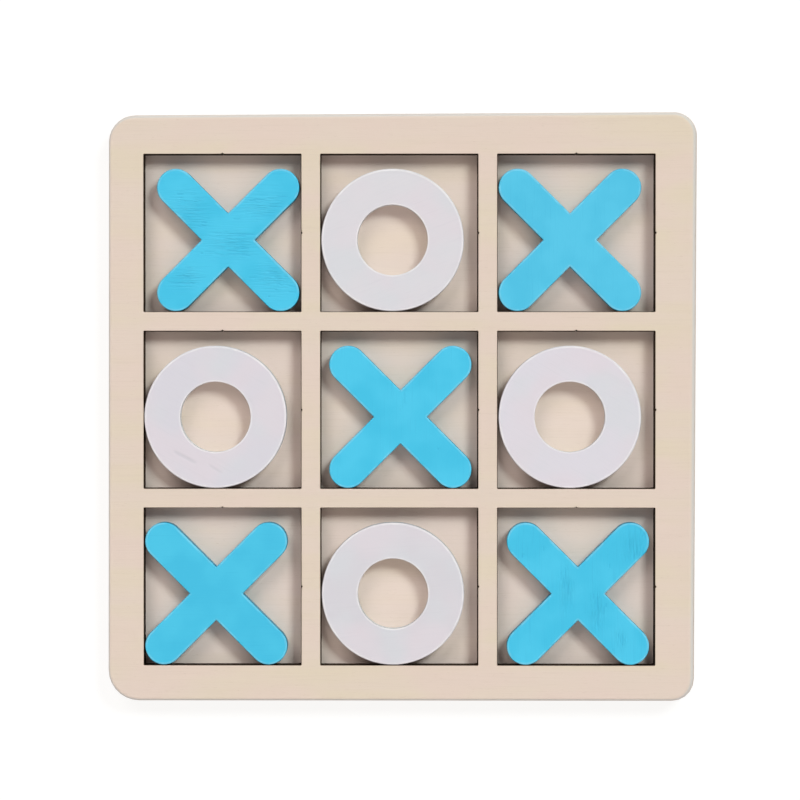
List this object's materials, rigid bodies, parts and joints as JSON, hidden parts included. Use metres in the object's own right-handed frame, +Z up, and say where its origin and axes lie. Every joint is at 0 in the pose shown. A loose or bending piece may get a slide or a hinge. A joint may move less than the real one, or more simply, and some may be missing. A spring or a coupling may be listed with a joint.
{
  "type": "tic tac toe set",
  "caption": "Square wooden tic tac toe board with a grid of sunken square cells, and loose flat X and O playing pieces that lie in the cells flush with the board's top.",
  "frame": {"origin": "centre of the board's underside", "axes": "+Z up out of the cells, +Y towards the back row of cells, +X to the right"},
  "size_m": [0.14, 0.14, 0.008],
  "materials": {
    "base_plywood": "bare sanded basswood plywood, matte",
    "grid_plywood": "bare sanded basswood plywood, matte, with laser-browned cell edges",
    "blue_paint": "satin light blue paint on plywood, fine grain showing through",
    "white_paint": "matte white paint on plywood, faint brush marks"
  },
  "bodies": {
    "board": {"base_panel": "base_plywood", "grid_frame": "grid_plywood"},
    "x_back_left": {"x_back_left": "blue_paint"},
    "x_back_right": {"x_back_right": "blue_paint"},
    "x_centre": {"x_centre": "blue_paint"},
    "x_front_left": {"x_front_left": "blue_paint"},
    "x_front_right": {"x_front_right": "blue_paint"},
    "o_back": {"o_back": "white_paint"},
    "o_left": {"o_left": "white_paint"},
    "o_right": {"o_right": "white_paint"},
    "o_front": {"o_front": "white_paint"}
  },
  "joints": [
    {"name": "x_back_left_lift", "type": "slide", "parent": "board", "child": "x_back_left", "axis": [0, 0, 1], "range_m": [0, 0.03]},
    {"name": "x_back_right_lift", "type": "slide", "parent": "board", "child": "x_back_right", "axis": [0, 0, 1], "range_m": [0, 0.03]},
    {"name": "x_centre_lift", "type": "slide", "parent": "board", "child": "x_centre", "axis": [0, 0, 1], "range_m": [0, 0.03]},
    {"name": "x_front_left_lift", "type": "slide", "parent": "board", "child": "x_front_left", "axis": [0, 0, 1], "range_m": [0, 0.03]},
    {"name": "x_front_right_lift", "type": "slide", "parent": "board", "child": "x_front_right", "axis": [0, 0, 1], "range_m": [0, 0.03]},
    {"name": "o_back_lift", "type": "slide", "parent": "board", "child": "o_back", "axis": [0, 0, 1], "range_m": [0, 0.03]},
    {"name": "o_left_lift", "type": "slide", "parent": "board", "child": "o_left", "axis": [0, 0, 1], "range_m": [0, 0.03]},
    {"name": "o_right_lift", "type": "slide", "parent": "board", "child": "o_right", "axis": [0, 0, 1], "range_m": [0, 0.03]},
    {"name": "o_front_lift", "type": "slide", "parent": "board", "child": "o_front", "axis": [0, 0, 1], "range_m": [0, 0.03]}
  ]
}
